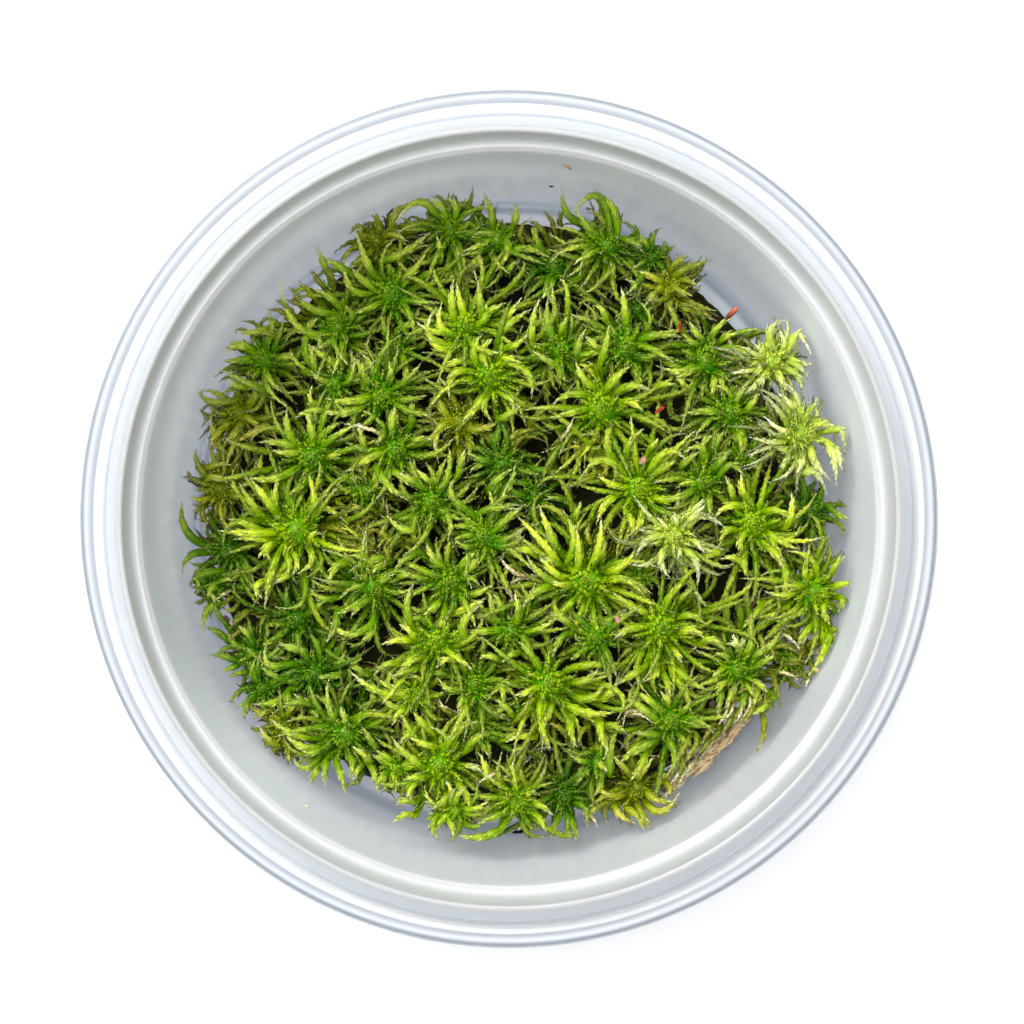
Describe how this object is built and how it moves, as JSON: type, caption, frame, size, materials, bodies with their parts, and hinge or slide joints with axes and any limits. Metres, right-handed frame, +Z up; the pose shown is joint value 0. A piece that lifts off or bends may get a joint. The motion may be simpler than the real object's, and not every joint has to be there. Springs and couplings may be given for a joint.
{
  "type": "moss clump",
  "caption": "Clump of live sphagnum moss, its star-shaped green shoots standing close together on a mat of old stems in a round translucent plastic tub.",
  "frame": {"origin": "middle of the tub's base, on the surface it stands on", "axes": "+Z up along the tub's axis; +Y is the upper edge of the picture and +X its right edge"},
  "size_m": [0.117, 0.117, 0.045],
  "materials": {
    "tub_plastic": "clear frosted polypropylene, translucent and slightly grey",
    "old_stems": "damp brown and olive old stems and branches",
    "lime_shoot": "live leaves, green in the middle and yellow-green to cream at the tips",
    "green_shoot": "live leaves, fresh green with lighter tips",
    "deep_shoot": "live leaves, deep green",
    "olive_shoot": "older leaves, dull olive to straw",
    "pale_shoot": "live leaves, pale yellow-green with whitish tips",
    "bark": "dry tan bark with fibres",
    "stalk": "thin brown stalk with a red tip"
  },
  "bodies": {
    "root": {"bark_sliver": "bark", "deep_shoot_04": "deep_shoot", "deep_shoot_06": "deep_shoot", "deep_shoot_26": "deep_shoot", "deep_shoot_29": "deep_shoot", "deep_shoot_34": "deep_shoot", "deep_shoot_41": "deep_shoot", "deep_shoot_47": "deep_shoot", "deep_shoot_55": "deep_shoot", "green_shoot_02": "green_shoot", "green_shoot_03": "green_shoot", "green_shoot_05": "green_shoot", "green_shoot_08": "green_shoot", "green_shoot_09": "green_shoot", "green_shoot_12": "green_shoot", "green_shoot_13": "green_shoot", "green_shoot_14": "green_shoot", "green_shoot_16": "green_shoot", "green_shoot_17": "green_shoot", "green_shoot_18": "green_shoot", "green_shoot_20": "green_shoot", "green_shoot_23": "green_shoot", "green_shoot_24": "green_shoot", "green_shoot_28": "green_shoot", "green_shoot_31": "green_shoot", "green_shoot_32": "green_shoot", "green_shoot_39": "green_shoot", "green_shoot_40": "green_shoot", "green_shoot_42": "green_shoot", "green_shoot_44": "green_shoot", "green_shoot_46": "green_shoot", "green_shoot_48": "green_shoot", "green_shoot_50": "green_shoot", "green_shoot_52": "green_shoot", "lime_shoot_10": "lime_shoot", "lime_shoot_11": "lime_shoot", "lime_shoot_19": "lime_shoot", "lime_shoot_27": "lime_shoot", "lime_shoot_33": "lime_shoot", "lime_shoot_35": "lime_shoot", "lime_shoot_37": "lime_shoot", "lime_shoot_38": "lime_shoot", "lime_shoot_43": "lime_shoot", "lime_shoot_45": "lime_shoot", "lime_shoot_49": "lime_shoot", "lime_shoot_53": "lime_shoot", "lime_shoot_54": "lime_shoot", "olive_shoot_01": "olive_shoot", "olive_shoot_07": "olive_shoot", "olive_shoot_22": "olive_shoot", "olive_shoot_25": "olive_shoot", "olive_shoot_30": "olive_shoot", "olive_shoot_51": "olive_shoot", "olive_shoot_56": "olive_shoot", "pale_shoot_15": "pale_shoot", "pale_shoot_21": "pale_shoot", "pale_shoot_36": "pale_shoot", "red_stalk": "stalk", "stem_mat": "old_stems", "tub": "tub_plastic"}
  },
  "joints": []
}
